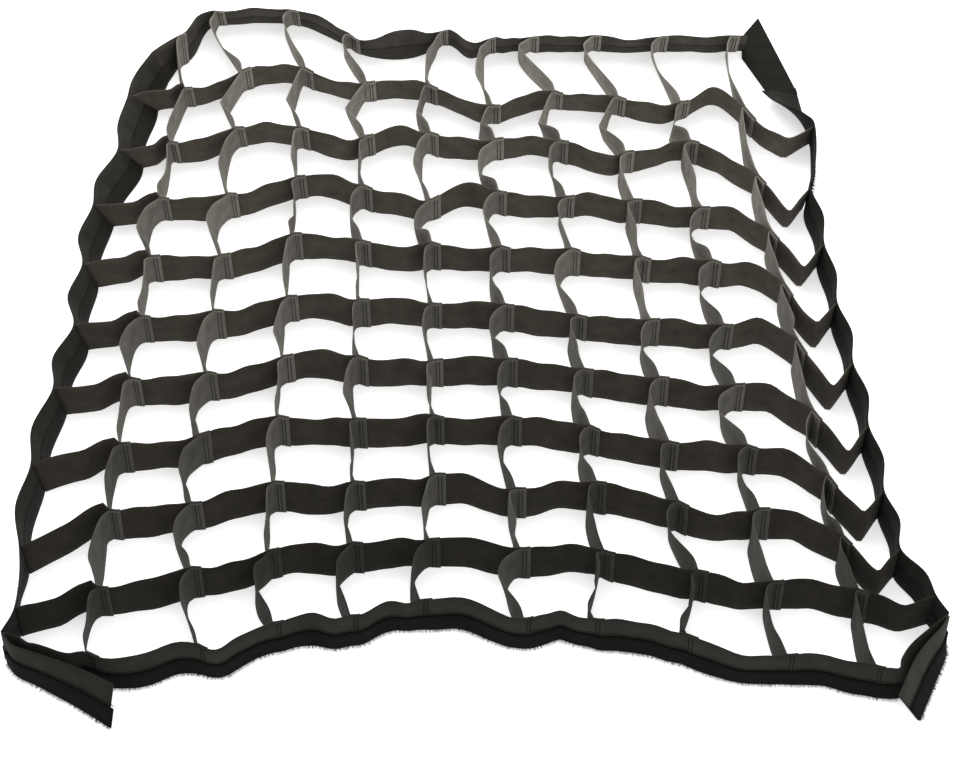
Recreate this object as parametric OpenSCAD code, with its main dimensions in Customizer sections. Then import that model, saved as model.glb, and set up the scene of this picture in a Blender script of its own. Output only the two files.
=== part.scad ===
// Fabric grid for a softbox: lengthwise webbing ribbons standing on edge, joined by short
// cross strips into open cells, with a hook-and-loop band round the outside. It lies loose
// on a flat surface, as it does when it has just been taken off. Z = 0 is that surface,
// +X runs along the ribbons and +Y runs from the near band to the far band.

/* [Webbing] */
// Width of the webbing, which is the depth of every cell
web_w = 40; // [30:1:50]
// Thickness of the ribbons and bands
web_t = 1.2; // [0.8:0.1:1.6]
// Thickness of the softer grosgrain cross strips
strip_t = 0.8; // [0.6:0.1:1]
// Width of the hook-and-loop tape on the outer band
tape_w = 19; // [15:1:25]
// Thickness of the hook-and-loop tape
tape_t = 1.4; // [1:0.1:2]

/* [Lie of the ribbons] */
// Length of one cell along the near band
cell_near = 70; // [66:1:74]
// How much each further ribbon is gathered, in mm a cell
gather = 1.1; // [0.8:0.1:1.3]
// Sideways drift of each further ribbon
drift = -2; // [-3:0.5:0]
// Distance from the near band to the first ribbon
row_near = 63; // [60:1:66]
// How much each further row is pulled longer
row_growth = 0.5; // [0.3:0.1:0.7]
// How far the ends of the near band curve towards the viewer
near_bow = 48; // [30:1:50]
// How far the far band's top edge leans to the near side, in degrees
far_lean = 27; // [15:1:30]
// Side bulge of a cross strip
strip_bulge = 8; // [5:1:10]

/* [Loose right-hand column] */
// How deep the ribbons dip before they reach the right band
dip_depth = 72; // [60:1:75]
// How deep they are at the last crossing
dip_at_last = 26; // [18:1:30]
// How far below its ribbon the right band is sewn
dip_end = 42; // [35:1:45]

/* [Hidden] */
columns = 10;
rows = 10;
gap = 0.4; // between a ribbon and what is sewn to it
steps = 4; // stations to a cell
near_y = -252;
seam_w = 2;
seam_t = 0.4;
end_gap = 0.06; // between a ribbon's end and the side band, in cells
flap_from = 0.03; // where a strip's flap starts and ends, in cells right of its crossing
flap_to = 0.16;
seam_at = 0.06;
leave_run = 5; // how far a strip follows its ribbon before it turns to the near side
// Middle of the whole object in plan, which the frame's origin is put at
middle = [-0.935, 71.517];

// Waves in the ribbons: [row, cell position, height, half-width in cells]
waves = [
    [0, 0.3, 16, 0.6], [0, 1.4, -10, 0.5], [0, 2.3, -12, 0.6], [0, 4, -9, 0.6],
    [0, 6, -20, 0.7], [0, 7, -10, 0.8], [0, 8.6, -18, 1.6], [0, 10.4, -18, 1.2],
    [1, 1, -8, 1.2], [1, 3.2, 8, 0.7], [1, 6, -12, 0.8], [1, 8.2, -15, 1.8],
    [2, 2.8, 10, 0.9], [2, 6, -13, 0.7], [2, 8.4, -12, 1.2],
    [3, 3, 13, 1.3], [3, 8, -9, 1.8],
    [4, 3.3, 16, 1.2], [4, 8, -8, 2],
    [5, 3.2, 17, 1.1], [5, 4.4, 6, 0.5], [5, 7.5, -9, 2.5], [5, 9.8, 12, 0.7],
    [6, 3.3, 20, 1.3], [6, 9.8, 10, 0.7],
    [7, 3.2, 26, 1.3], [7, 4.9, -9, 0.5], [7, 5.6, 10, 0.6], [7, 7.4, 6, 0.5],
    [8, 2.5, 26, 1.3], [8, 4.6, 18, 0.8], [8, 6.6, 9, 0.7], [8, 7.8, -12, 0.7],
    [8, 8.9, 14, 0.7],
    [9, 2.6, 32, 1.6], [9, 4.5, 10, 0.8], [9, 6, -24, 0.9], [9, 8.6, -12, 0.7],
    [9, 9.7, 24, 0.7],
    [10, 1.5, 12, 1.1], [10, 2.6, 58, 2.2], [10, 4.4, -10, 0.7], [10, 5.1, 14, 0.5], [10, 5.7, -8, 0.5]
];
// Cells that are shifted along their ribbon: [row, cell position, shift]
slips = [
    [0, 2, 18], [0, 3, 8], [0, 5, -14], [0, 7, -14], [0, 8, -10],
    [1, 2, 6], [1, 5, -6], [1, 8, 8], [9, 1, 6],
    [10, 1, -8], [10, 2, -34], [10, 3, -18], [10, 4, -18], [10, 5, 12], [10, 7, -18], [10, 8, -16],
    [10, 9, -10]
];

// ---- Where every point of the grid lies -------------------------------------------------
function bell(d, w) = abs(d) < w ? 0.5 + 0.5 * cos(180 * d / w) : 0;
function wave(u, v) = let (all = [for (w = waves) if (w[0] == v) w[2] * bell(u - w[1], w[3])])
    len(all) == 0 ? 0 : all * [for (a = all) 1];
function slip(u, v) = let (all = [for (s = slips) if (s[0] == v) s[2] * bell(u - s[1], 1)])
    len(all) == 0 ? 0 : all * [for (a = all) 1];
function cell(v) = cell_near - gather * v;
function across(u) = (u - 5.5) / 5.5;
function row_line(v) = near_y + row_near * v + row_growth * v * v;
function bow(v) = 10 + near_bow * pow(1 - v / 10, 1.6);
function tilt(v) = v == 10 ? -14 : 1.3 * v;
// The far row stands upright up to its first crossing
function lean(u, v) = far_lean * v * v / 100 * (v == rows ? lookup(u, [[1.3, 0], [1.95, 1]]) : 1);
// Share of the full dip that the right-hand column has at each ribbon
function dip_share(v) = lookup(v, [[0, 0], [1, 0.3], [2, 0.8], [3, 1], [8, 1], [9, 0.75], [10, 0]]);
function end_cell(v) = lookup(v, [[0, 62], [1, 62], [2, 46], [8, 46], [9, 66], [10, 66]]);
function dip(u, v) = dip_share(v)
    * lookup(u, [[9.5, 0], [10, dip_at_last], [10.6, dip_depth], [11, dip_end]]);
// Ribbons drop to the left band over their first cell, which the far corner shortens
function end_drop(v) = lookup(v, [[1, 24], [2, 34], [3, 20], [4, 8], [9, 8]]);
function left_drop(u, v) = v == 0 || v == rows ? 0
    : end_drop(v) * pow(max(0, 1 - u), 1.5) - 8 * bell(u - 0.85, 0.35);
function left_pull(v) = lookup(v, [
    [0, 0], [1, 6], [2, 2], [3, 2], [4, 8], [5, 16], [6, 14], [7, 16], [8, 34], [9, 38], [10, 0]
]);

function grid_x(u, v) = drift * v + cell(v) * (min(u, 10) - 5.5) + slip(u, v)
    + max(0, u - 10) * end_cell(v) + max(0, 1 - u) * left_pull(v);
function grid_y(u, v) = row_line(v) - bow(v) * (1 - cos(180 * across(min(u, 10)))) / 2
    - tilt(v) * across(min(u, 10)) + wave(u, v) - dip(u, v) - left_drop(u, v);

// A station is [point on the lower edge, direction up the webbing]
function up_of(angle) = [0, -sin(angle), cos(angle)];
function station(x, y, angle) = [[x, y + web_w * sin(angle), 0], up_of(angle)];
function ribbon_at(u, v) = station(grid_x(u, v), grid_y(u, v), lean(u, v));
function ribbon_path(v, from, to) = [for (i = [from * steps:to * steps]) ribbon_at(i / steps, v)];

// ---- A strip of webbing along stations, from share s0 to s1 of the webbing's width --------
function flat_unit(p) = let (q = [p[0], p[1], 0]) q / norm(q);
function tangent(path, i) = path[min(i + 1, len(path) - 1)][0] - path[max(i - 1, 0)][0];
function side(path, i) = flat_unit(cross(tangent(path, i), path[i][1]));
function corner(st, n, s, d) = st[0] + st[1] * web_w * s + n * d;
function ring(st, n, shares, front, back) = concat(
    [for (s = shares) corner(st, n, s, front)],
    [for (i = [len(shares) - 1:-1:0]) corner(st, n, shares[i], back)]
);
// Both faces are split along the same diagonals, so that layers on a twisted path stay parallel
function quad(a, b, next, rising) = rising
    ? [[a, b, b + next], [a, b + next, a + next]]
    : [[a, b, a + next], [b, b + next, a + next]];

// shares lists where the webbing's faces are creased, from its lower to its upper edge
module webbing(path, t, off = 0, shares = [0, 1]) {
    n = len(path);
    m = len(shares);
    rings = [for (i = [0:n - 1]) ring(path[i], side(path, i), shares, off + t / 2, off - t / 2)];
    skin = [for (i = [0:n - 2]) for (j = [0:2 * m - 1])
        let (a = 2 * m * i + j, b = 2 * m * i + (j + 1) % (2 * m))
        each quad(a, b, 2 * m, j < m)];
    first = [for (j = [0:m - 2]) each [[j + 1, j, 2 * m - 1 - j], [j + 1, 2 * m - 1 - j, 2 * m - 2 - j]]];
    last = [for (f = first) [for (j = [2:-1:0]) f[j] + 2 * m * (n - 1)]];
    translate([-middle[0], -middle[1], 0])
        polyhedron(points = [for (r = rings) each r], faces = concat(first, skin, last));
}

// ---- Outer band ---------------------------------------------------------------------------
// Side bands: four stations to a row, bulged outwards between two ribbons.
// tips lists how far the top edge tips over to +X, in degrees, at each ribbon.
function side_point(u, v) = [grid_x(u, v), grid_y(u, v)];
function tipped(p, tip) = [[p[0], p[1], 0], [sin(tip), 0, cos(tip)]];
function side_path(u, from, to, out, tips) = [for (i = [from * steps:to * steps])
    let (v = floor(i / steps), part = i / steps - v, a = side_point(u, v), b = side_point(u, min(v + 1, 10)))
    tipped(a + (b - a) * part + [out * sin(180 * part), 0], lookup(i / steps, tips))];
// Stations every quarter of the way from one to the next
function quartered(path) = [for (i = [0:steps * (len(path) - 1)])
    let (a = path[floor(i / steps)], b = path[min(floor(i / steps) + 1, len(path) - 1)])
    let (part = i / steps - floor(i / steps), up = a[1] + (b[1] - a[1]) * part)
    [a[0] + (b[0] - a[0]) * part, up / norm(up)]];
left_tips = [[0, 0], [1, 0], [2, -4], [3, -12], [6, -16], [7, -22], [8, -32], [9, -40]];
right_tips = [[0, 0], [1, 4], [8, 4], [9, 0]];
near_left_corner = [-383, -285];
near_right_corner = [381, -266];
// The left band and the far band are sewn end to end here
corner_up = [-0.33, 0.1, 0.94];
left_path = concat(
    [tipped(near_left_corner, 0)],
    side_path(0, 1, 9 - 1 / steps, -4, left_tips),
    quartered([tipped(side_point(0, 9), -40), tipped([-309, 374], -36), [[-303, 402, 0], corner_up]])
);
// The right band turns from upright to lying flat before the corner tab
turn = [[318, 318, 10], [317, 338, 32], [315, 358, 52], [312, 383.5, 70]];
function leaning_in(p) = [[p[0], p[1], 0.8], [-sin(p[2]), -0.2 * sin(p[2]), cos(p[2])]];
right_path = concat(
    [tipped(near_right_corner, 0)],
    side_path(11, 1, 9 - 1 / steps, 3, right_tips),
    quartered(concat([tipped(side_point(11, 9), 0)], [for (p = turn) leaning_in(p)]))
);
far_path = concat([[[-302, 405, 0], corner_up]], ribbon_path(rows, 1, columns), [ribbon_at(10.18, rows)]);
near_path = concat([ribbon_at(0.35, 0)], ribbon_path(0, 0.5, 10.25), [ribbon_at(10.4, 0)]);
// Loose end of the left band, wrapped round the near corner and leaning back on the near band
tail_line = [[-381, -288, 0], [-372, -300, 2], [-354, -310, 6], [-322, -330, 16], [-292, -351, 24]];
tail_path = quartered([for (p = tail_line) [[p[0], p[1], 0], [0.4 * sin(p[2]), sin(p[2]), cos(p[2])]]]);
// Lower end of the right band, which closes the near right corner and leans in over it
end_path = quartered([
    tipped([381, -269.5], 0), tipped([380, -282], -12), tipped([370, -306], -28), tipped([353, -344], -30)
]);
tab_outline = [[312, 386], [281, 496], [263, 468], [263, 438], [287, 386]];

// Tape is sewn to the lower half of each band's outer face, which is creased along its top
tape_off = web_t / 2 + tape_t / 2 + gap;
tape_top = tape_w / web_w;
tape_shares = [0, tape_top];
band_shares = [0, tape_top, 1];

module band(path) webbing(path, web_t, shares = band_shares);
module tape(path, face) webbing(path, tape_t, face * tape_off, tape_shares);

module near_band() color("#1a1a18") band(near_path);
module far_band() color("#2b2926") band(far_path);
module left_band() color("#1f1e1c") band(left_path);
module right_band() color("#1f1e1c") band(right_path);
module tail_band() color("#1a1a18") band(tail_path);
module end_band() color("#1f1e1c") band(end_path);
module near_tape() color("#101010") tape(near_path, 1);
module far_tape() color("#101010") tape(far_path, -1);
module left_tape() color("#101010") tape(left_path, -1);
// The tape stops where the right band turns to lie flat
module right_tape() color("#101010")
    tape([for (i = [0:len(right_path) - 1 - 4 * steps]) right_path[i]], 1);
module tail_tape() color("#101010") tape(tail_path, 1);
module end_tape() color("#101010") tape(end_path, -1);

// The corner tab lies flat, tape side down
module tab_layer(bottom, t) {
    translate([-middle[0], -middle[1], bottom])
        linear_extrude(t)
            polygon(tab_outline);
}
module tab_tape() color("#101010") tab_layer(0, tape_t);
module tab_band() color("#1a1a18") tab_layer(tape_t, web_t);

// ---- Ribbons --------------------------------------------------------------------------------
module ribbon(k) {
    left_gap = end_gap * cell(k) / (cell(k) - left_pull(k));
    color("#2a2723")
        webbing(concat(
            [ribbon_at(left_gap, k)],
            ribbon_path(k, 1 / steps, 11 - 1 / steps),
            [ribbon_at(11 - end_gap, k)]
        ), web_t);
}

// ---- Cross strips ---------------------------------------------------------------------------
// A point on the straight piece of ribbon right of crossing c, moved off its face
function on_face(c, du, v, off) = let (a = ribbon_at(c, v), b = ribbon_at(c + 1 / steps, v))
    let (n = flat_unit(cross(b[0] - a[0], a[1])), p = a[0] + (b[0] - a[0]) * du * steps)
    [p + n * off, a[1]];
flap_off = web_t / 2 + gap + strip_t / 2;

// Direction along the ribbon from crossing c to the left
function leftwards(v, c) = flat_unit(ribbon_at(c - 1 / steps, v)[0] - ribbon_at(c, v)[0]);

// Strips of the first and last column are taut, and those of row 9 are slack
function looseness(k, c) = (c == 1 || c == columns ? 0.4 : 1) * (k == 9 ? 1.4 : 1);

// A strip leaves the far ribbon's face to the left, curls round to the near side and meets
// the back of the near ribbon, where it turns right
function strip_path(k, c) = let (
        far = on_face(c, flap_from, k, flap_off),
        near = on_face(c, flap_from, k - 1, -flap_off),
        f = far[0], n = near[0], fu = far[1], nu = near[1],
        bulge = strip_bulge * looseness(k, c),
        leave = leftwards(k, c) * leave_run * min(looseness(k, c), 1) + [0, -4, 0]
    ) [
        on_face(c, flap_to, k, flap_off),
        far,
        [f + leave, fu],
        [f + leave + [min(leave_run - bulge, 0), -11, 0], fu],
        [f * 0.45 + n * 0.55 + [-bulge, 0, 0], (fu + nu) / 2],
        [n + [-4, 14, 0], nu],
        near,
        on_face(c, flap_to, k - 1, -flap_off)
    ];

module strips_row(k) {
    color("#6b6862")
        for (c = [1:columns])
            webbing(strip_path(k, c), strip_t);
}

// ---- Seams: one short line of thread at every crossing, over the flap -------------------------
seam_off = web_t / 2 + gap + strip_t + seam_t / 2 + 0.05;
module seams(k) {
    low = k == 0 ? tape_top + 0.06 : 0.02;
    off = k == 0 ? web_t / 2 + seam_t / 2 + 0.02 : seam_off;
    color("#0c0c0c")
        for (c = [1:columns])
            webbing([on_face(c, seam_at, k, 0), on_face(c, seam_at + seam_w / cell_near, k, 0)],
                seam_t, off, [low, 0.98]);
}

near_band();
near_tape();
far_band();
far_tape();
left_band();
left_tape();
right_band();
right_tape();
tail_band();
tail_tape();
end_band();
end_tape();
tab_band();
tab_tape();
for (k = [1:rows - 1]) ribbon(k);
for (k = [1:rows]) strips_row(k);
for (k = [0:rows]) seams(k);
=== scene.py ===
"""Looks of the loose fabric grid: woven ribbons, ribbed cross strips, an outer band with hook
tape, stitches and fuzz. The layout functions are those of the CAD model, in millimetres."""

import math
import random

import bmesh
import bpy
import numpy as np
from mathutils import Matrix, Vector


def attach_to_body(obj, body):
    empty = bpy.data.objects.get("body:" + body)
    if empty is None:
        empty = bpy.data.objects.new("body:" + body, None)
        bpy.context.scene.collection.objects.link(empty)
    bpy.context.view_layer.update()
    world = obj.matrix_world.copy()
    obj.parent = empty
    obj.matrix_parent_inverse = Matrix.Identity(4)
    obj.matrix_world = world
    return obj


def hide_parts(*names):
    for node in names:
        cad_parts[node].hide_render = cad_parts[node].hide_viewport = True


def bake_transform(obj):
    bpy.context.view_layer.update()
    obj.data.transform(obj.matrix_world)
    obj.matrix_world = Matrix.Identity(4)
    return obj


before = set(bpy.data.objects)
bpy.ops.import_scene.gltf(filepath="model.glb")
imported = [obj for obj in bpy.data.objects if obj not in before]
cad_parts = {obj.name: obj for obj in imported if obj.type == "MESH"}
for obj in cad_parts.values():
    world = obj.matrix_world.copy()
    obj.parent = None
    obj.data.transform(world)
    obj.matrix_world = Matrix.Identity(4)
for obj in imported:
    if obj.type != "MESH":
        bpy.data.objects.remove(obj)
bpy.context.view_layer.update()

# ---- Driving dimensions, in millimetres, as in the CAD model -------------------------------------
# Places along a row count its crossings from 1 to COLUMNS, with its ends at 0 and RIGHT_END
MM = 0.001
WEB_W = 40.0
WEB_T = 1.2
STRIP_T = 0.8
TAPE_W = 19.0
TAPE_T = 1.4
CELL_NEAR = 70.0
GATHER = 1.1
DRIFT = -2.0
ROW_NEAR = 63.0
ROW_GROWTH = 0.5
NEAR_BOW = 48.0
FAR_LEAN = 27.0
STRIP_BULGE = 8.0
LEAVE_RUN = 5.0
STEP_AT_FIRST = 8.0
NEAR_ARCH = 10.0
RIGHT_TILT = 1.3
FAR_TILT = -14.0
DIP_DEPTH = 72.0
DIP_AT_LAST = 26.0
DIP_END = 42.0
NEAR_Y = -252.0
MIDDLE = np.array([-0.935, 71.517, 0.0])
ROWS = 10
COLUMNS = 10
RIGHT_END = COLUMNS + 1
HALF = RIGHT_END / 2
TAPE_TOP = TAPE_W / WEB_W
TAPE_OFF = WEB_T / 2 + TAPE_T / 2 + 0.05
FLAP_OFF = WEB_T / 2 + 0.25 + STRIP_T / 2
THREAD_LIFT = 0.1
ON_WEBBING = WEB_T / 2 + 0.15
SLACK_ROW = 9
NEAR_LEFT = (-383, -285)
NEAR_RIGHT = (381, -266)
FAR_LEFT = (-303, 402)
BODIES = ["near_edge"] + [f"ribbon_{k}" for k in range(1, ROWS)] + ["far_edge"]

# Waves in the ribbons: row, cell position, height, half-width in cells
WAVES = [
    (0, 0.3, 16, 0.6), (0, 1.4, -10, 0.5), (0, 2.3, -12, 0.6), (0, 4, -9, 0.6),
    (0, 6, -20, 0.7), (0, 7, -10, 0.8), (0, 8.6, -18, 1.6), (0, 10.4, -18, 1.2),
    (1, 1, -8, 1.2), (1, 3.2, 8, 0.7), (1, 6, -12, 0.8), (1, 8.2, -15, 1.8),
    (2, 2.8, 10, 0.9), (2, 6, -13, 0.7), (2, 8.4, -12, 1.2),
    (3, 3, 13, 1.3), (3, 8, -9, 1.8),
    (4, 3.3, 16, 1.2), (4, 8, -8, 2),
    (5, 3.2, 17, 1.1), (5, 4.4, 6, 0.5), (5, 7.5, -9, 2.5), (5, 9.8, 12, 0.7),
    (6, 3.3, 20, 1.3), (6, 9.8, 10, 0.7),
    (7, 3.2, 26, 1.3), (7, 4.9, -9, 0.5), (7, 5.6, 10, 0.6), (7, 7.4, 6, 0.5),
    (8, 2.5, 26, 1.3), (8, 4.6, 18, 0.8), (8, 6.6, 9, 0.7), (8, 7.8, -12, 0.7),
    (8, 8.9, 14, 0.7),
    (9, 2.6, 32, 1.6), (9, 4.5, 10, 0.8), (9, 6, -24, 0.9), (9, 8.6, -12, 0.7),
    (9, 9.7, 24, 0.7),
    (10, 1.5, 12, 1.1), (10, 2.6, 58, 2.2), (10, 4.4, -10, 0.7), (10, 5.1, 14, 0.5), (10, 5.7, -8, 0.5),
]
# Cells that are shifted along their ribbon: row, cell position, shift
SLIPS = [
    (0, 2, 18), (0, 3, 8), (0, 5, -14), (0, 7, -14), (0, 8, -10),
    (1, 2, 6), (1, 5, -6), (1, 8, 8), (9, 1, 6),
    (10, 1, -8), (10, 2, -34), (10, 3, -18), (10, 4, -18), (10, 5, 12), (10, 7, -18), (10, 8, -16),
    (10, 9, -10),
]


# ---- Where every point of the grid lies ----------------------------------------------------------
def bell(distance, half_width):
    if abs(distance) >= half_width:
        return 0.0
    return 0.5 + 0.5 * math.cos(math.pi * distance / half_width)


def smooth(low, high, x):
    t = min(max((x - low) / (high - low), 0.0), 1.0)
    return t * t * (3 - 2 * t)


def wave(u, v):
    """How far the waves move row v at place u."""
    return sum(h * bell(u - c, w) for row, c, h, w in WAVES if row == v)


def slip(u, v):
    return sum(shift * bell(u - c, 1) for row, c, shift in SLIPS if row == v)


def cell(v):
    return CELL_NEAR - GATHER * v


def across(u):
    """A place along a ribbon as a share from -1, at its left end, to 1, at its right end."""
    return (u - HALF) / HALF


def row_line(v):
    """Where row v would lie if it were straight."""
    return NEAR_Y + ROW_NEAR * v + ROW_GROWTH * v * v


def bow(v):
    """How far the middle of a row arches away from its ends."""
    return NEAR_ARCH + NEAR_BOW * (1 - v / ROWS) ** 1.6


def tilt(v):
    """How far the right end of a row lies nearer than its middle."""
    return FAR_TILT if v == ROWS else RIGHT_TILT * v


def lean(u, v):
    """The far row stands upright up to its first crossing."""
    return math.radians(FAR_LEAN * v * v / ROWS ** 2) * (smooth(1.3, 1.95, u) if v == ROWS else 1)


def sharp_dip(u, v):
    """How far each row dips towards the near side at its right end."""
    share = np.interp(v, [0, 1, 2, 3, 8, 9, 10], [0, 0.3, 0.8, 1, 1, 0.75, 0])
    return share * np.interp(u, [9.5, 10, 10.6, 11], [0, DIP_AT_LAST, DIP_DEPTH, DIP_END])


def dip(u, v):
    """The right-hand dip with its corners rounded, as cloth turns them."""
    return sum(sharp_dip(u + d, v) for d in (-0.06, -0.03, 0, 0.03, 0.06)) / 5


def end_cell(v):
    """The distance from a ribbon's last crossing to its right end."""
    return np.interp(v, [0, 1, 2, 8, 9, 10], [62, 62, 46, 46, 66, 66])


def left_drop(u, v):
    """Ribbons drop to the left band over their first cell, with a step where the strip is sewn on."""
    if v in (0, ROWS):
        return 0.0
    step = smooth(0.5, 0.85, u) * (1 - smooth(0.97, 1.03, u))
    return np.interp(v, [1, 2, 3, 4, 9], [24, 34, 20, 8, 8]) * max(0, 1 - u) ** 1.5 - STEP_AT_FIRST * step


def left_pull(v):
    """How much the first cell of each ribbon is shortened by the left band's curve."""
    return np.interp(v, range(ROWS + 1), [0, 6, 2, 2, 8, 16, 14, 16, 34, 38, 0])


def grid_x(u, v):
    ends = max(0, u - COLUMNS) * end_cell(v) + max(0, 1 - u) * left_pull(v)
    return DRIFT * v + cell(v) * (min(u, COLUMNS) - HALF) + slip(u, v) + ends


def grid_y(u, v):
    share = across(min(u, COLUMNS))
    arch = bow(v) * (1 - math.cos(math.pi * share)) / 2
    return row_line(v) - arch - tilt(v) * share + wave(u, v) - dip(u, v) - left_drop(u, v)


def unit(v):
    return v / np.linalg.norm(v)


def station(x, y, angle):
    """A point on the webbing's lower edge, and the direction up its width."""
    point = np.array([x, y + WEB_W * math.sin(angle), 0.0])
    return point, np.array([0.0, -math.sin(angle), math.cos(angle)])


def tipped(x, y, degrees, back=0.0):
    """A station whose top edge is tipped over to +X by that angle, and to +Y by the second one."""
    tip, away = math.radians(degrees), math.radians(back)
    return np.array([x, y, 0.0]), unit(np.array([math.sin(tip), math.sin(away), math.cos(tip)]))


RIPPLES = {v: [random.Random(40 + v).uniform(0, 2 * math.pi) for _ in range(6)] for v in range(ROWS + 1)}


def ripple(u, v):
    """Small irregular sway of a ribbon: how far it is moved, in mm, and leant, in radians."""
    a, b, c, d, e, f = RIPPLES[v]
    free = smooth(0.0, 0.4, u) * (1 - smooth(10.6, RIGHT_END, u))
    move = 0.8 * math.sin(5.3 * u + a) + 0.5 * math.sin(9.1 * u + b) + 0.35 * math.sin(17 * u + c)
    turn = math.radians(2.2 * math.sin(3.1 * u + d) + 1.6 * math.sin(6.7 * u + e) + math.sin(12 * u + f))
    return free * move, free * turn


# How far the top edge of each side band tips over to +X, in degrees, at each ribbon and between them
LEFT_TIPS = [(0, 0), (1, 0), (1.5, 7), (2, -4), (2.5, -13), (3, -10), (3.5, -17), (4, -10), (4.5, -19),
             (5, -12), (5.5, -21), (6, -14), (6.5, -24), (7, -20), (7.5, -32), (8, -30), (9, -40)]
RIGHT_TIPS = [(0, 0), (1, 4), (1.5, 7), (2, 2), (2.5, 6), (3, 1), (3.5, 6), (4, 2), (4.5, 7), (5, 2),
              (5.5, 6), (6, 1), (6.5, 5), (7, 3), (7.5, 7), (8, 4), (9, 0)]


def tip_at(tips, v):
    return np.interp(v, [row for row, _ in tips], [tip for _, tip in tips])


def ribbon_at(u, v):
    """A ribbon's ends tip over with the side bands that they are sewn to. The far row turns its
    face up where it is bunched, near its middle."""
    move, turn = ripple(u, v)
    pinch = 1.2 * sum(bell(u - c, 0.16) for c in range(1, COLUMNS + 1))
    point, up = station(grid_x(u, v), grid_y(u, v) + move + pinch, lean(u, v))
    if 0 < v < ROWS:
        left = (1 - smooth(0.0, 0.6, u)) * tip_at(LEFT_TIPS, v)
        tip = left + smooth(10.6, RIGHT_END, u) * tip_at(RIGHT_TIPS, v)
    else:
        tip = 0.0
    bunched = 0.45 * bell(u - 4.6, 0.45) if v == ROWS else 0.0
    return point, unit(up + np.array([math.sin(math.radians(tip)), math.sin(turn) + bunched, 0.0]))


# ---- Meshes --------------------------------------------------------------------------------------
def sweep_points(path):
    """The path's points, its directions up the webbing, and the normals of the webbing's face."""
    points = np.array([p for p, _ in path])
    ups = np.array([u for _, u in path])
    tangents = np.gradient(points, axis=0)
    normals = np.cross(tangents, ups)
    return points, ups, normals / np.linalg.norm(normals, axis=1)[:, None]


def between(a, b, n):
    """The n - 1 points from a up to b, without b."""
    return [a + (b - a) * i / n for i in range(n)]


def rounded(stations, steps, sharp=()):
    """A smooth path through stations: Catmull-Rom, except that the stations in sharp stay corners."""
    points = [np.concatenate(s) for s in stations]
    path = []
    for i in range(len(points) - 1):
        p1, p2 = points[i], points[i + 1]
        before = p1 - (p2 - p1) if i == 0 or i in sharp else points[i - 1]
        after = p2 + (p2 - p1) if i + 2 == len(points) or i + 1 in sharp else points[i + 2]
        for t in between(0.0, 1.0, steps):
            curve = (2 * p1 + (p2 - before) * t + (2 * before - 5 * p1 + 4 * p2 - after) * t * t
                     + (3 * p1 - before - 3 * p2 + after) * t ** 3) / 2
            path.append((curve[:3], unit(curve[3:])))
    path.append((points[-1][:3], unit(points[-1][3:])))
    return path


def mesh_object(name, vertices, faces, material, lie=None):
    """vertices are in millimetres before the origin is moved to the middle. lie is each vertex's
    place along and across the webbing, in mm, and its tone from 0, near, to 1, far: painted light that
    makes the far pieces lighter than the near ones."""
    mesh = bpy.data.meshes.new(name)
    above_floor = np.maximum(np.array(vertices), [-math.inf, -math.inf, 0.0])
    mesh.from_pydata([tuple(p) for p in (above_floor - MIDDLE) * MM], [], faces)
    mesh.polygons.foreach_set("use_smooth", [True] * len(mesh.polygons))
    if lie is not None:
        attribute = mesh.attributes.new("lie", "FLOAT_VECTOR", "POINT")
        attribute.data.foreach_set("vector", np.array(lie, np.float32).ravel())
    mesh.materials.append(material)
    made = bpy.data.objects.new(name, mesh)
    bpy.context.scene.collection.objects.link(made)
    return made


def cloth(name, path, material, thickness, off=0.0, low=0.0, high=1.0, lanes=6, painted_light_tone=0.5, cup=0.0):
    """A woven band along the path: a thin closed solid with rounded edges. off moves it along its
    normal, low and high are shares of the webbing's width, and cup bows it across its width
    halfway along."""
    points, ups, normals = sweep_points(path)
    edge = thickness / 2 / WEB_W
    shares = np.linspace(low + edge, high - edge, lanes)
    along = np.concatenate([[0], np.cumsum(np.linalg.norm(np.diff(points, axis=0), axis=1))])
    vertices, lie = [], []

    def add(i, share, side):
        bowed = cup * (1 - (2 * share - 1) ** 2) * math.sin(math.pi * i / (len(points) - 1)) ** 4
        vertices.append(points[i] + ups[i] * WEB_W * share + normals[i] * (off + side + bowed))
        # The tone is painted light: the far pieces are coloured lighter than the near ones
        lie.append((along[i], share * WEB_W, painted_light_tone))

    for i in range(len(points)):
        add(i, low, 0)
        for share in shares:
            add(i, share, thickness / 2)
        add(i, high, 0)
        for share in shares[::-1]:
            add(i, share, -thickness / 2)
    loop = 2 * lanes + 2
    faces = [
        (i * loop + j, i * loop + (j + 1) % loop, (i + 1) * loop + (j + 1) % loop, (i + 1) * loop + j)
        for i in range(len(points) - 1) for j in range(loop)
    ]
    for start, turned in ((0, True), ((len(points) - 1) * loop, False)):
        cap = [(start, start + 1, start + loop - 1)]
        cap += [(start + j, start + j + 1, start + loop - j - 1, start + loop - j) for j in range(1, lanes)]
        cap.append((start + lanes, start + lanes + 1, start + lanes + 2))
        faces += [f[::-1] if turned else f for f in cap]
    lift = min(p[2] for p in vertices)
    vertices = [p - np.array([0, 0, min(lift, 0)]) for p in vertices]
    return mesh_object(name, vertices, faces, material, lie)


def spindle(vertices, faces, a, b, radius, tip=0.0):
    """A thin four-sided thread from a to b, which narrows towards b if tip is below 1."""
    axis = unit(b - a)
    side = unit(np.cross(axis, np.array([0.3, 0.5, 0.81])))
    other = np.cross(axis, side)
    start = len(vertices)
    vertices.append(a)
    for share, size in ((0.2, 1.0), (0.8, max(tip, 0.35))):
        for x, y in ((1, 0), (0, 1), (-1, 0), (0, -1)):
            vertices.append(a + (b - a) * share + (side * x + other * y) * radius * size)
    vertices.append(b)
    for j in range(4):
        k = (j + 1) % 4
        faces.append((start, start + 1 + k, start + 1 + j))
        faces.append((start + 1 + j, start + 1 + k, start + 5 + k, start + 5 + j))
        faces.append((start + 5 + j, start + 5 + k, start + 9))


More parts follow.
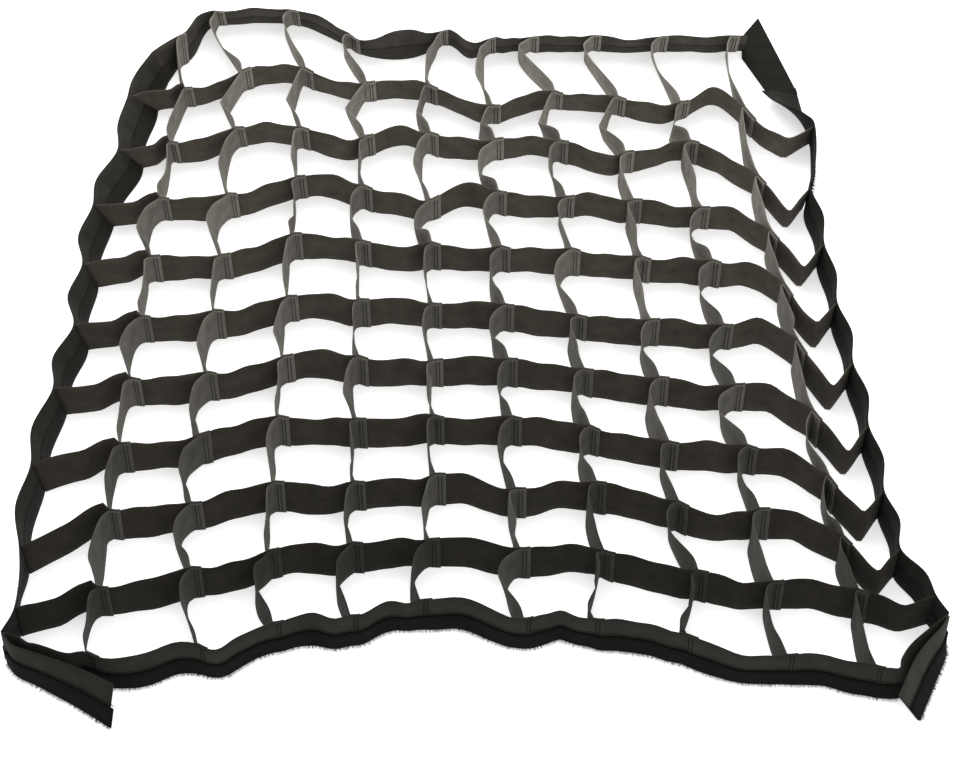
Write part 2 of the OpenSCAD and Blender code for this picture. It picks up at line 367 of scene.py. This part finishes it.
def stitch_line(vertices, faces, path, share, off, pitch=3.0, radius=0.36):
    """Stitches along a path, at that share of the webbing's width."""
    points, ups, normals = sweep_points(path)
    line = points + ups * WEB_W * share + normals * off
    along = np.concatenate([[0], np.cumsum(np.linalg.norm(np.diff(line, axis=0), axis=1))])
    for n in range(int(along[-1] / pitch)):
        ends = [np.array([np.interp(s, along, line[:, i]) for i in range(3)])
                for s in ((n + 0.12) * pitch, (n + 0.9) * pitch)]
        spindle(vertices, faces, ends[0], ends[1], radius, tip=1.0)


def hairs(vertices, faces, path, off, rng, spacing=0.5, length=3.9):
    """Fuzz along the lower edge of the hook tape, combed outwards and down to the floor."""
    points, ups, normals = sweep_points(path)
    outward = math.copysign(1.0, off)
    along = np.concatenate([[0], np.cumsum(np.linalg.norm(np.diff(points, axis=0), axis=1))])
    tangents = np.gradient(points, axis=0)
    s = 0.5
    while s < along[-1]:
        i = min(int(np.searchsorted(along, s)), len(points) - 1)
        out = unit(normals[i] * outward * np.array([1, 1, 0]))
        sideways = unit(tangents[i]) * rng.uniform(-0.5, 0.5)
        foot = np.array([np.interp(s, along, points[:, j]) for j in range(3)])
        root = foot + normals[i] * off + ups[i] * rng.uniform(0.2, 2.2)
        reach = length * rng.uniform(0.65, 1.1) * (2.2 if rng.random() < 0.015 else 1)
        tip = root + (out + sideways) * reach
        tip[2] = max(0.12, root[2] - rng.uniform(0.2, 1.4))
        spindle(vertices, faces, root, tip, 0.22)
        s += spacing * rng.uniform(0.5, 1.5)


# ---- Materials -----------------------------------------------------------------------------------
class Nodes:
    """A few short ways to add shader nodes."""

    def __init__(self, name):
        self.material = bpy.data.materials.new(name)
        self.material.use_nodes = True
        self.tree = self.material.node_tree
        self.shader = self.tree.nodes["Principled BSDF"]

    def link(self, value, socket):
        if hasattr(value, "is_output"):
            self.tree.links.new(value, socket)
        else:
            socket.default_value = value

    def math(self, operation, a, b=0.0, clamp=False):
        node = self.tree.nodes.new("ShaderNodeMath")
        node.operation = operation
        node.use_clamp = clamp
        self.link(a, node.inputs[0])
        self.link(b, node.inputs[1])
        return node.outputs[0]

    def mix(self, factor, a, b):
        node = self.tree.nodes.new("ShaderNodeMix")
        node.data_type = "RGBA"
        self.link(factor, node.inputs["Factor"])
        self.link(a, node.inputs["A"])
        self.link(b, node.inputs["B"])
        return node.outputs["Result"]

    def lie(self):
        """Place along and across the webbing in mm, and the tone, from the mesh. The tone is painted light:
        far pieces are lighter.
        """
        node = self.tree.nodes.new("ShaderNodeAttribute")
        node.attribute_name = "lie"
        split = self.tree.nodes.new("ShaderNodeSeparateXYZ")
        self.tree.links.new(node.outputs["Vector"], split.inputs[0])
        return node.outputs["Vector"], split.outputs["X"], split.outputs["Y"], split.outputs["Z"]

    def noise(self, vector, scale, detail=2.0):
        node = self.tree.nodes.new("ShaderNodeTexNoise")
        node.inputs["Scale"].default_value = scale
        node.inputs["Detail"].default_value = detail
        self.tree.links.new(vector, node.inputs["Vector"])
        return node.outputs["Fac"]

    def bump(self, height, strength, distance):
        node = self.tree.nodes.new("ShaderNodeBump")
        node.inputs["Strength"].default_value = strength
        node.inputs["Distance"].default_value = distance
        self.tree.links.new(height, node.inputs["Height"])
        self.tree.links.new(node.outputs[0], self.shader.inputs["Normal"])


def colour(r, g, b):
    return (r, g, b, 1.0)


def woven(name, near_dark, near_light, far_dark, far_light, rib_along, rib_across, sheen, lower_darkening=0.0):
    """Woven tape. Ribs of those pitches in mm, with painted shade in the gaps between its yarns. Its colour
    goes from the near pair to the far pair with the tone, painted light that makes the far pieces lighter.
    The last argument darkens the webbing from its lower edge up to the tape's width."""
    n = Nodes(name)
    vector, along, over, painted_light_tone = n.lie()
    patchy = n.noise(vector, 0.06, 3.0)
    fibre = n.noise(vector, 1.6, 2.0)
    warp = n.math("SINE", n.math("MULTIPLY", over, 2 * math.pi / rib_across))
    weft = n.math("SINE", n.math("MULTIPLY", along, 2 * math.pi / rib_along))
    weave = n.math("ADD", n.math("MULTIPLY", n.math("MULTIPLY", warp, weft), 0.5),
                   n.math("MULTIPLY", weft, 0.5 if rib_along > rib_across else 0.15))
    # The weave's ribs go into the colour as painted shade: darker in the gaps between the yarns
    light = n.math("ADD", n.math("MULTIPLY", weave, 0.3),
                   n.math("ADD", n.math("MULTIPLY", patchy, 0.9), n.math("MULTIPLY", fibre, 0.5)))
    light = n.math("SUBTRACT", light, 0.22, clamp=True)
    # Darker from the webbing's lower edge up to the tape's width
    if lower_darkening:
        lower = n.math("LESS_THAN", over, TAPE_W)
        light = n.math("MULTIPLY", light, n.math("SUBTRACT", 1.0, n.math("MULTIPLY", lower, lower_darkening)))
    # Painted light: the tone moves the colour from the dark near pair to the lighter far pair
    dark = n.mix(painted_light_tone, colour(*near_dark), colour(*far_dark))
    pale = n.mix(painted_light_tone, colour(*near_light), colour(*far_light))
    n.link(n.mix(light, dark, pale), n.shader.inputs["Base Color"])
    n.link(n.math("ADD", n.math("MULTIPLY", patchy, 0.15), 0.8), n.shader.inputs["Roughness"])
    n.shader.inputs["Sheen Weight"].default_value = sheen
    n.shader.inputs["Sheen Roughness"].default_value = 0.45
    n.shader.inputs["Specular IOR Level"].default_value = 0.08
    n.bump(n.math("ADD", weave, n.math("MULTIPLY", fibre, 0.6)), 0.55, 0.0003)
    return n.material


def pile(name, base, pale):
    """Hook-and-loop tape: a nap of fine rows of hooks."""
    n = Nodes(name)
    vector, along, over, _ = n.lie()
    rows = n.math("SINE", n.math("MULTIPLY", over, 2 * math.pi / 1.9))
    hooks = n.math("SINE", n.math("MULTIPLY", along, 2 * math.pi / 1.3))
    nap = n.noise(vector, 2.2, 4.0)
    height = n.math("ADD", n.math("MULTIPLY", n.math("MULTIPLY", rows, hooks), 0.5), nap)
    n.link(n.mix(n.math("MULTIPLY", nap, 0.9, clamp=True), colour(*base), colour(*pale)),
           n.shader.inputs["Base Color"])
    n.shader.inputs["Roughness"].default_value = 0.95
    n.shader.inputs["Sheen Weight"].default_value = 0.02
    n.shader.inputs["Specular IOR Level"].default_value = 0.03
    n.bump(height, 0.9, 0.0006)
    return n.material


def thread(name, base):
    n = Nodes(name)
    n.shader.inputs["Base Color"].default_value = colour(*base)
    n.shader.inputs["Roughness"].default_value = 0.75
    n.shader.inputs["Specular IOR Level"].default_value = 0.1
    return n.material


# Each material's near pair is darker and its far pair lighter: painted light, picked by each piece's tone
webbing_cloth = woven("webbing_cloth", (0.0038, 0.0034, 0.0026), (0.0185, 0.0164, 0.0126),
                      (0.031, 0.0268, 0.0208), (0.14, 0.122, 0.097), 1.1, 1.4, 0.02)
band_cloth = woven("band_cloth", (0.0044, 0.0041, 0.0033), (0.0185, 0.0174, 0.014),
                   (0.02, 0.018, 0.0148), (0.105, 0.096, 0.08), 1.1, 1.4, 0.02, lower_darkening=0.5)
strip_cloth = woven("strip_cloth", (0.0098, 0.0095, 0.0078), (0.049, 0.0475, 0.04),
                    (0.088, 0.082, 0.07), (0.39, 0.365, 0.32), 1.5, 0.9, 0.03)
hook_pile = pile("hook_pile", (0.0018, 0.0017, 0.0015), (0.0075, 0.007, 0.0063))
seam_thread = thread("seam_thread", (0.003, 0.0028, 0.0025))
fuzz_thread = thread("fuzz_thread", (0.006, 0.0055, 0.005))


# ---- Ribbons -------------------------------------------------------------------------------------
# The ribbons stop short of the side bands by END cells, and have FINE steps to a cell
END = 0.014
FINE = 14


def ribbon_path(v, first, last):
    """Row v from the place first to the place last, in fine steps."""
    count = int(round((last - first) * FINE))
    return [ribbon_at(first + (last - first) * i / count, v) for i in range(count + 1)]


for k in range(1, ROWS):
    path = ribbon_path(k, END * cell(k) / (cell(k) - left_pull(k)), RIGHT_END - END)
    # Painted light: each ribbon's tone rises with its row, so the far ribbons are coloured lighter
    ribbon = cloth(f"woven_ribbon_{k}", path, webbing_cloth, WEB_T, painted_light_tone=k / ROWS)
    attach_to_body(ribbon, f"ribbon_{k}")
    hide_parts(f"ribbon_{k}")


# ---- Cross strips --------------------------------------------------------------------------------
# Where a sewn flap follows the ribbon's face, in cells from the crossing
FLAP = (0.03, 0.06, 0.095, 0.13, 0.165)
STRIP_STEPS = 5


def on_face(c, cells, v, off):
    """A point of a ribbon right of crossing c, moved off its face, with its up direction."""
    here, up = ribbon_at(c + cells, v)
    ahead, _ = ribbon_at(c + cells + 0.02, v)
    return here + unit(np.cross(ahead - here, up)) * off, up


def strip_path(k, c, rng):
    """A strip from its flap on the front of ribbon k, over the gap, to its flap behind ribbon k - 1."""
    loose = 0.4 if c == COLUMNS or (c == 1 and k > 7) or (c == 2 and k == ROWS) else 1.0
    bulge = STRIP_BULGE * loose * rng.uniform(0.3, 1.6)
    middle = rng.uniform(0.38, 0.56)
    far, up_far = on_face(c, FLAP[0], k, FLAP_OFF)
    near, up_near = on_face(c, FLAP[0], k - 1, -FLAP_OFF)
    left = unit((ribbon_at(c - 0.25, k)[0] - ribbon_at(c, k)[0]) * np.array([1, 1, 0]))
    leave = left * LEAVE_RUN * loose + np.array([0, -3.5, 0])
    sway = np.array([rng.uniform(-0.22, 0.12), rng.uniform(-0.1, 0.1), 0])
    if k == SLACK_ROW:
        bulge = STRIP_BULGE * loose * rng.uniform(1.3, 1.9)
    stations = [on_face(c, cells, k, FLAP_OFF) for cells in FLAP[::-1]] + [
        (far + leave, up_far),
        (far + leave + np.array([min(LEAVE_RUN - bulge, 0), -11, 0]), unit(up_far + sway * 0.5)),
        (far * middle + near * (1 - middle) + np.array([-bulge, 0, 0]), unit(up_far + up_near + sway * 2)),
        (near + np.array([-4, 14, 0]), up_near),
    ] + [on_face(c, cells, k - 1, -FLAP_OFF) for cells in FLAP]
    turn = len(FLAP) - 1
    if k == SLACK_ROW:
        stations.pop(turn + 2)
        return rounded(stations, STRIP_STEPS, {turn, turn + 2, turn + 4})
    return rounded(stations, STRIP_STEPS, {turn, turn + 5})


for k in range(1, ROWS + 1):
    for c in range(1, COLUMNS + 1):
        rng = random.Random(100 * k + c)
        path = strip_path(k, c, rng)
        # The strip's tone: painted light, lighter towards the far rows, with a random tone of its own for each
        # strip
        painted_light_tone = min(max((k - 0.5) / ROWS + rng.uniform(-0.12, 0.12), 0), 1)
        strip = cloth(f"strip_r{k}_c{c}", path, strip_cloth, STRIP_T, painted_light_tone=painted_light_tone, lanes=5,
                      cup=rng.uniform(-1.0, 1.0))
        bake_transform(strip)
        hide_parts(f"strips_row_{k}")


# ---- Seams at the crossings ----------------------------------------------------------------------
def stitches_up(vertices, faces, c, cells, v, off, low=0.04, high=0.97):
    """One upright row of stitches on the front of ribbon v."""
    base, up = on_face(c, cells, v, off)
    count = 13
    for i in range(count):
        a, b = ((low + (high - low) * (i + share) / count) * WEB_W for share in (0.1, 0.9))
        spindle(vertices, faces, base + up * a, base + up * b, 0.4, tip=1.0)


for v in range(ROWS + 1):
    vertices, faces = [], []
    off = ON_WEBBING if v == 0 else FLAP_OFF + STRIP_T / 2 + THREAD_LIFT
    for c in range(1, COLUMNS + 1):
        for cells in (0.075, 0.115):
            stitches_up(vertices, faces, c, cells, v, off, low=0.52 if v == 0 else 0.04)
    seam = mesh_object(f"stitched_seams_{v}", vertices, faces, seam_thread)
    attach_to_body(seam, BODIES[v])
    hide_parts(f"seams_{v}")


# ---- Outer band ----------------------------------------------------------------------------------
def band_section(name, path, body, node, tape_node, outward, painted_light_tone, rng, tape_path=None, attach=None):
    """Webbing, its hook tape on the outer face, three rows of stitches and the fuzz below. attach, if
    given, is called on each piece instead; without it the pieces ride on body. A tape_path of []
    leaves the tape out."""
    pieces = []
    # The webbing's tone is painted light: lighter for the far pieces, darker for the near ones
    web = cloth(f"{name}_webbing", path, band_cloth, WEB_T, painted_light_tone=painted_light_tone)
    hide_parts(node)
    pieces.append(web)
    tape_path = path if tape_path is None else tape_path
    if tape_path:
        tape = cloth(f"{name}_hook_tape", tape_path, hook_pile, TAPE_T, off=outward * TAPE_OFF,
                     high=TAPE_TOP, lanes=4)
        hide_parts(tape_node)
        pieces.append(tape)
        vertices, faces = [], []
        on_tape = TAPE_OFF + TAPE_T / 2 + THREAD_LIFT
        stitch_line(vertices, faces, tape_path, TAPE_TOP - 0.05, outward * on_tape)
        stitch_line(vertices, faces, tape_path, TAPE_TOP + 0.05, outward * ON_WEBBING)
        stitch_line(vertices, faces, tape_path, TAPE_TOP, -outward * ON_WEBBING)
        stitches = mesh_object(f"{name}_stitches", vertices, faces, seam_thread)
        pieces.append(stitches)
        vertices, faces = [], []
        hairs(vertices, faces, tape_path, outward * TAPE_OFF, rng)
        fuzz = mesh_object(f"{name}_fuzz", vertices, faces, fuzz_thread)
        pieces.append(fuzz)
    for piece in pieces:
        if attach:
            attach(piece)
        else:
            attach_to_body(piece, body)


# The near band's webbing turns up behind the loose ends to both side bands; its tape stops there
LEFT_TURN = [(-382.4, -285.6, 0), (-371.5, -288.5, 0)]
RIGHT_TURN = [(345, -319, -12), (354, -309, -22), (365, -294.5, -25), (374.5, -279.5, -13), (380.2, -267.8, 0)]
TURN_STEPS = 4
near_path = ribbon_path(0, 0.35, 10.3)
left_turn = rounded([tipped(*s) for s in LEFT_TURN] + [near_path[0]], TURN_STEPS)
right_turn = rounded([near_path[-1]] + [tipped(*s) for s in RIGHT_TURN], TURN_STEPS)
band_section("near_band", left_turn[:-1] + near_path + right_turn[1:], "near_edge", "near_band", "near_tape",
             1, 0.1, random.Random(1), near_path + right_turn[1:TURN_STEPS + 1])

# The far band leans out with the left band at the corner that they share
CORNER_UP = unit(np.array([-0.33, 0.1, 0.94]))
PER_CELL = 6
far_stations = [(np.array([FAR_LEFT[0], FAR_LEFT[1] + 0.6, 0]), CORNER_UP)]
far_stations += [ribbon_at(i / PER_CELL, ROWS) for i in range(PER_CELL, PER_CELL * COLUMNS + 1)]
far_stations.append(ribbon_at(10.28, ROWS))
band_section("far_band", rounded(far_stations, 3), "far_edge", "far_band", "far_tape", -1, 0.9,
             random.Random(2))


def side_stations(u, out, tips):
    """The ends of ribbons 1 to 9, with a bulge of out between each two."""
    stations = []
    for i in range(2, 2 * ROWS - 1):
        here, after = (np.array([grid_x(u, v), grid_y(u, v)]) for v in (i // 2, i // 2 + 1))
        x, y = (here + after) / 2 + np.array([out, 0]) if i % 2 else here
        stations.append(tipped(x, y, tip_at(tips, i / 2)))
    return stations


def leaning_in(x, y, degrees):
    """A station of the right band's far end, which lies down towards the tab."""
    a = math.radians(degrees)
    return np.array([x, y, 0.8]), unit(np.array([-math.sin(a), -0.2 * math.sin(a), math.cos(a)]))


def flared(x, y, degrees):
    """A station of the loose left end, whose top edge tips over to +Y and a little to +X."""
    a = math.radians(degrees)
    return np.array([x, y, 0.0]), unit(np.array([0.4 * math.sin(a), math.sin(a), math.cos(a)]))


def scene_y(y):
    """A place in millimetres before the origin is moved to the middle, as a y of the frame."""
    return (y - MIDDLE[1]) * MM


def between_bodies():
    """Returns a function that bakes a side piece's place into its mesh."""
    def attach(piece):
        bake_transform(piece)
    return attach


def side_band(side, stations, outward, tape_until, far_tone, seed):
    """One side band, as a section for each row, which bends between the ribbons at its ends.
    stations: the near corner, two for each ribbon, and the far end."""
    steps = 8
    path = rounded(stations, steps)
    cuts = [0] + [steps * (1 + 2 * i) for i in range(ROWS - 1)] + [len(path) - 1]
    for k in range(1, ROWS + 1):
        part = path[cuts[k - 1]:cuts[k] + 1]
        attach = between_bodies()
        # The tone rises along the band to its far end: painted light, lighter towards the far side, and the
        # left band painted lighter than the right
        band_section(f"{side}_band_{k}", part, None, f"{side}_band", f"{side}_tape", outward,
                     far_tone * k / ROWS, random.Random(seed + k), None if k <= tape_until else [], attach)


left_stations = [tipped(*NEAR_LEFT, 0)] + side_stations(0, -4, LEFT_TIPS)
left_stations += [tipped(-309, 374, -36), (np.array([*FAR_LEFT, 0]), CORNER_UP)]
side_band("left", left_stations, -1, ROWS, 0.4, 200)
right_stations = [tipped(*NEAR_RIGHT, 0)] + side_stations(RIGHT_END, 3, RIGHT_TIPS) + [
    leaning_in(318, 318, 10), leaning_in(317, 338, 32), leaning_in(315, 358, 52), leaning_in(312, 384, 70)]
side_band("right", right_stations, 1, ROWS - 1, 0.05, 300)

TAIL = [(-381, -288, 0), (-372, -300, 2), (-354, -310, 6), (-322, -330, 16), (-292, -351, 24)]
END_FLAP = [(381, -269.5, 0), (380, -282, -12), (370, -306, -28), (353, -344, -30)]
tail_path = rounded([flared(*s) for s in TAIL], 10)
band_section("tail", tail_path[:-1], "tail", "tail_band", "tail_tape", 1, 0.05, random.Random(5), tail_path)
end_path = rounded([tipped(*s) for s in END_FLAP], 10)
band_section("end_flap", end_path, "end_flap", "end_band", "end_tape", -1, 0.3, random.Random(6))


# ---- Corner tab: two flat layers -----------------------------------------------------------------
TAB_OUTLINE = [(312, 386), (281, 496), (263, 468), (261, 438), (283, 386)]
ROOT_ENDS = (384, 393)


def tab_layer(name, bottom, thickness, material):
    """A flat plate of the tab's outline, with its edges rounded off."""
    mesh = bpy.data.meshes.new(name)
    bm = bmesh.new()
    corners = [bm.verts.new(((x - MIDDLE[0]) * MM, scene_y(y), bottom * MM)) for x, y in TAB_OUTLINE]
    face = bm.faces.new(corners)
    grown = bmesh.ops.extrude_face_region(bm, geom=[face])
    top = [g for g in grown["geom"] if isinstance(g, bmesh.types.BMVert)]
    bmesh.ops.translate(bm, verts=top, vec=(0, 0, thickness * MM))
    bmesh.ops.recalc_face_normals(bm, faces=bm.faces)
    bmesh.ops.bevel(bm, geom=list(bm.edges), offset=0.3 * MM, segments=2, affect="EDGES")
    bm.to_mesh(mesh)
    bm.free()
    attribute = mesh.attributes.new("lie", "FLOAT_VECTOR", "POINT")
    for value, vertex in zip(attribute.data, mesh.vertices):
        value.vector = (vertex.co.y / MM, WEB_W - 1 + vertex.co.x / MM * 0.001, 0.0)
    mesh.materials.append(material)
    made = bpy.data.objects.new(name, mesh)
    bpy.context.scene.collection.objects.link(made)
    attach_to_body(made, "corner_tab")
    return made


tab_web = tab_layer("tab_webbing", TAPE_T, WEB_T, band_cloth)
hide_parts("tab_band")
tab_tape = tab_layer("tab_hook_tape", 0.0, TAPE_T, hook_pile)
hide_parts("tab_tape")

# A short cloth joins the right band's flat end to the tab, and rises onto the tab's tape
root_path = rounded([leaning_in(312, ROOT_ENDS[0], 70), leaning_in(312, 387, 76),
                     leaning_in(311, ROOT_ENDS[1], 84)], 5)
rise = TAPE_T / (len(root_path) - 1)
root_path = [(p + np.array([0, 0, rise * i]), up) for i, (p, up) in enumerate(root_path)]
tab_root = cloth("tab_root", root_path, band_cloth, WEB_T, high=0.72, painted_light_tone=0.0)
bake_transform(tab_root)


# ---- Stage, light and camera ---------------------------------------------------------------------
bpy.ops.mesh.primitive_plane_add(size=12, location=(0, 0, -0.0004))
floor = bpy.context.object
floor.name = "floor"
floor_paint = thread("floor_paint", (0.9, 0.9, 0.9))
floor_shader = floor_paint.node_tree.nodes["Principled BSDF"]
floor_shader.inputs["Emission Color"].default_value = colour(1.0, 1.0, 1.0)
floor_shader.inputs["Emission Strength"].default_value = 0.5
floor.data.materials.append(floor_paint)

world = bpy.data.worlds.new("studio")
world.use_nodes = True
background = world.node_tree.nodes["Background"]
background.inputs["Color"].default_value = colour(1.0, 1.0, 1.0)
background.inputs["Strength"].default_value = 1.0
bpy.context.scene.world = world


def area_light(name, location, target, size, power):
    light = bpy.data.lights.new(name, "AREA")
    light.size = size
    light.energy = power
    lamp = bpy.data.objects.new(name, light)
    lamp.location = location
    direction = np.array(target) - np.array(location)
    lamp.rotation_euler = Vector(direction).to_track_quat("-Z", "Y").to_euler()
    bpy.context.scene.collection.objects.link(lamp)


area_light("overhead", (-0.3, 0.9, 2.2), (0, 0, 0), 2.2, 42)
area_light("front", (0.8, -1.8, 1.9), (0, 0, 0), 1.6, 14)

ELEVATION = math.radians(49)
DISTANCE = 2.40
HALF_HEIGHT = 0.020
LENS = 103.1
SENSOR = 36
target = np.array([-MIDDLE[0] * MM, scene_y(0), HALF_HEIGHT])
camera_data = bpy.data.cameras.new("camera")
camera_data.lens = LENS
camera_data.sensor_width = SENSOR
camera = bpy.data.objects.new("camera", camera_data)
camera.location = target + DISTANCE * np.array([0, -math.cos(ELEVATION), math.sin(ELEVATION)])
camera.rotation_euler = (math.pi / 2 - ELEVATION, 0, 0)
bpy.context.scene.collection.objects.link(camera)
bpy.context.scene.camera = camera
bpy.context.scene.view_settings.view_transform = "Standard"
